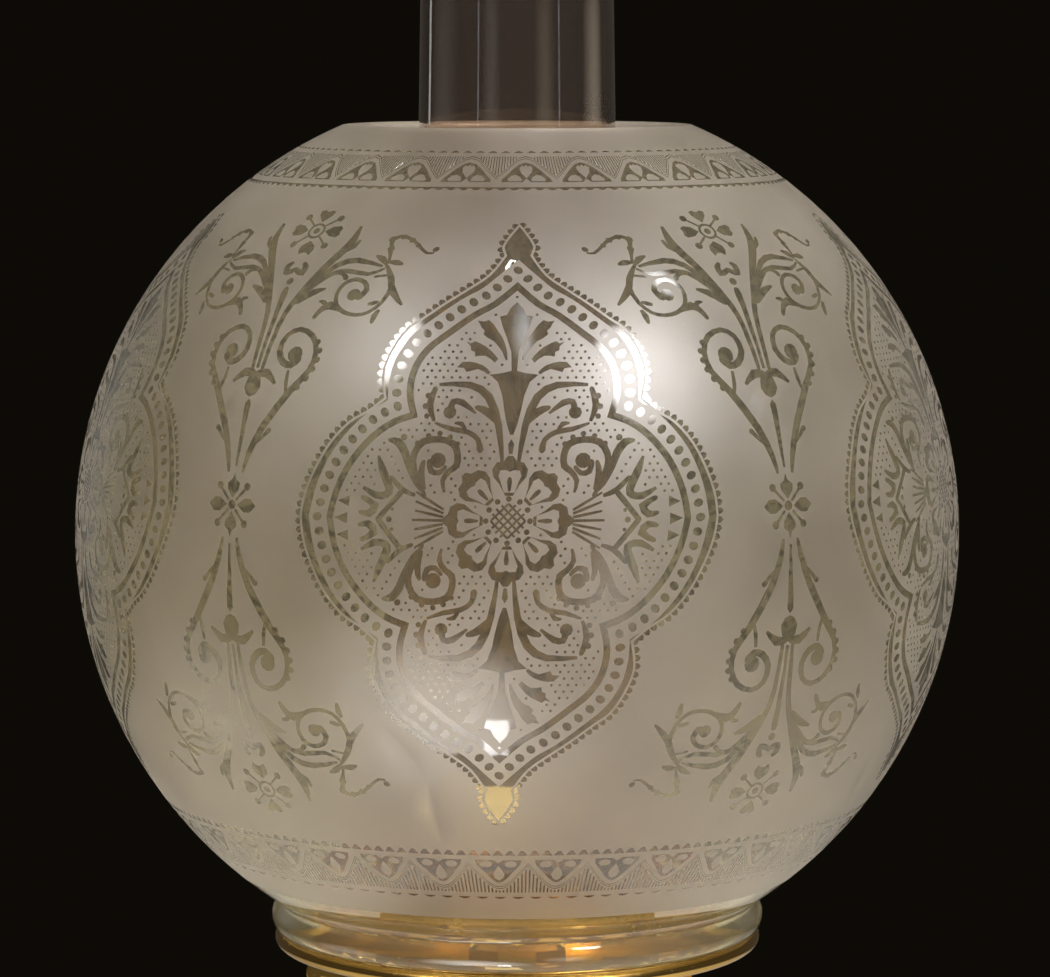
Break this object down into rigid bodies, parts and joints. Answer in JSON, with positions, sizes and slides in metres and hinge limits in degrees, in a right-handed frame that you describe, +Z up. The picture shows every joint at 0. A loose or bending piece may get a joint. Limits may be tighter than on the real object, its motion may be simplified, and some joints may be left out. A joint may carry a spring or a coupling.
{
  "type": "table oil lamp",
  "caption": "Table oil lamp: porcelain body on a brass foot, lift-out font, duplex wick burner, pierced gallery, clear chimney and etched ball shade.",
  "frame": {"origin": "middle of the foot's underside, on the surface the lamp stands on", "axes": "+Z up the lamp to the chimney's mouth, X along the flat wicks with the winder knobs at +X and the extinguisher lever at -X, -Y towards the viewer of the picture"},
  "size_m": [0.2276, 0.2276, 0.5847],
  "materials": {
    "brass": "polished, with darker tarnish in the recesses",
    "font_brass": "spun and lacquered, satin",
    "steel": "turned, dull",
    "porcelain": "glossy ivory glaze with thin gilt lines",
    "felt": "soft felt",
    "wick_cotton": "flat woven cotton",
    "clear_glass": "clear, blown",
    "etched_glass": "acid-frosted with a clear ornament"
  },
  "bodies": {
    "base": {"foot": "brass", "knop": "brass", "body_socket": "brass", "porcelain_body": "porcelain", "tie_rod": "steel", "lower_washer": "steel", "lower_nut": "steel", "cushion_washer": "felt", "upper_washer": "steel", "upper_nut": "steel", "neck_mount": "brass"},
    "font": {"font_bowl": "font_brass", "font_shoulder": "font_brass", "font_collar": "brass"},
    "burner": {"burner_base": "brass", "burner_basket": "brass", "wick_tube_front": "brass", "wick_tube_back": "brass", "winder_gland_front": "brass", "winder_gland_back": "brass", "lever_pin": "steel"},
    "front_wick": {"wick_front": "wick_cotton"},
    "back_wick": {"wick_back": "wick_cotton"},
    "front_winder": {"winder_shaft_front": "steel", "winder_knob_front": "brass"},
    "back_winder": {"winder_shaft_back": "steel", "winder_knob_back": "brass"},
    "extinguisher": {"extinguisher_sleeves": "brass"},
    "lever": {"extinguisher_lever": "brass"},
    "gallery": {"gallery_plate": "brass", "gallery_ring": "brass", "gallery_crown": "brass", "chimney_holder": "brass", "burner_dome": "brass"},
    "chimney": {"chimney": "clear_glass"},
    "shade": {"globe_shade": "etched_glass"}
  },
  "joints": [
    {"name": "font_lift", "type": "slide", "parent": "base", "child": "font", "axis": [0, 0, 1], "range_m": [0, 0.1]},
    {"name": "burner_lift", "type": "slide", "parent": "font", "child": "burner", "axis": [0, 0, 1], "range_m": [0, 0.13]},
    {"name": "gallery_lift", "type": "slide", "parent": "burner", "child": "gallery", "axis": [0, 0, 1], "range_m": [0, 0.03]},
    {"name": "chimney_lift", "type": "slide", "parent": "gallery", "child": "chimney", "axis": [0, 0, 1], "range_m": [0, 0.26]},
    {"name": "shade_lift", "type": "slide", "parent": "gallery", "child": "shade", "axis": [0, 0, 1], "range_m": [0, 0.26]},
    {"name": "front_winder_turn", "type": "hinge", "parent": "burner", "child": "front_winder", "pos_m": [0.03, -0.01455, 0.3051], "axis": [1, 0, 0], "range_deg": [-120, 60]},
    {"name": "back_winder_turn", "type": "hinge", "parent": "burner", "child": "back_winder", "pos_m": [0.03, 0.01455, 0.3051], "axis": [-1, 0, 0], "range_deg": [-120, 60]},
    {"name": "front_wick_travel", "type": "slide", "parent": "burner", "child": "front_wick", "axis": [0, 0, 1], "range_m": [-0.0097, 0.0049]},
    {"name": "back_wick_travel", "type": "slide", "parent": "burner", "child": "back_wick", "axis": [0, 0, 1], "range_m": [-0.0097, 0.0049]},
    {"name": "lever_press", "type": "hinge", "parent": "burner", "child": "lever", "pos_m": [-0.0313, 0, 0.313], "axis": [0, -1, 0], "range_deg": [0, 24]},
    {"name": "extinguisher_rise", "type": "slide", "parent": "burner", "child": "extinguisher", "axis": [0, 0, 1], "range_m": [0, 0.0059]}
  ],
  "couplings": [
    {"joint": "front_wick_travel", "follows": "front_winder_turn", "m_per_rad": 0.0046},
    {"joint": "back_wick_travel", "follows": "back_winder_turn", "m_per_rad": 0.0046},
    {"joint": "lever_press", "follows": "extinguisher_rise", "rad_per_m": 69.9}
  ]
}
